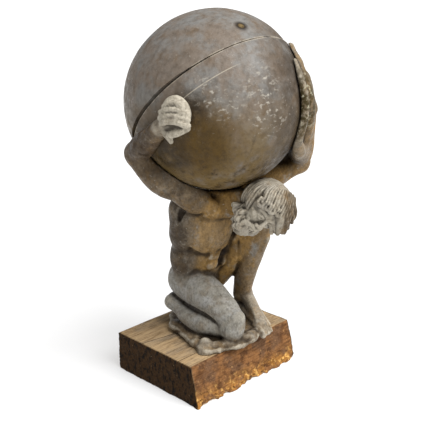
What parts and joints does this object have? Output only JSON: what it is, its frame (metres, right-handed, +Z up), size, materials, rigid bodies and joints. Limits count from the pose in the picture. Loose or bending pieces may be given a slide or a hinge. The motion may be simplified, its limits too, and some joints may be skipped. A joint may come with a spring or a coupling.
{
  "type": "garden statue",
  "caption": "Weathered cast-lead garden statue of a kneeling bearded man carrying a large seamed globe on neck and raised arms, on a rough timber block with a raked, rotten front edge",
  "frame": {"origin": "centre of the timber block's underside", "axes": "+Z up, the man faces -Y and his left side is +X"},
  "size_m": [0.5344, 0.4856, 1.0038],
  "materials": {
    "old_timber": "rough sawn, weathered, rotten along the lower front edge",
    "figure_lead": null,
    "globe_lead": null
  },
  "bodies": {
    "root": {"timber_block": "old_timber", "atlas_figure": "figure_lead", "globe_lower": "globe_lead", "globe_upper": "globe_lead"}
  },
  "joints": []
}
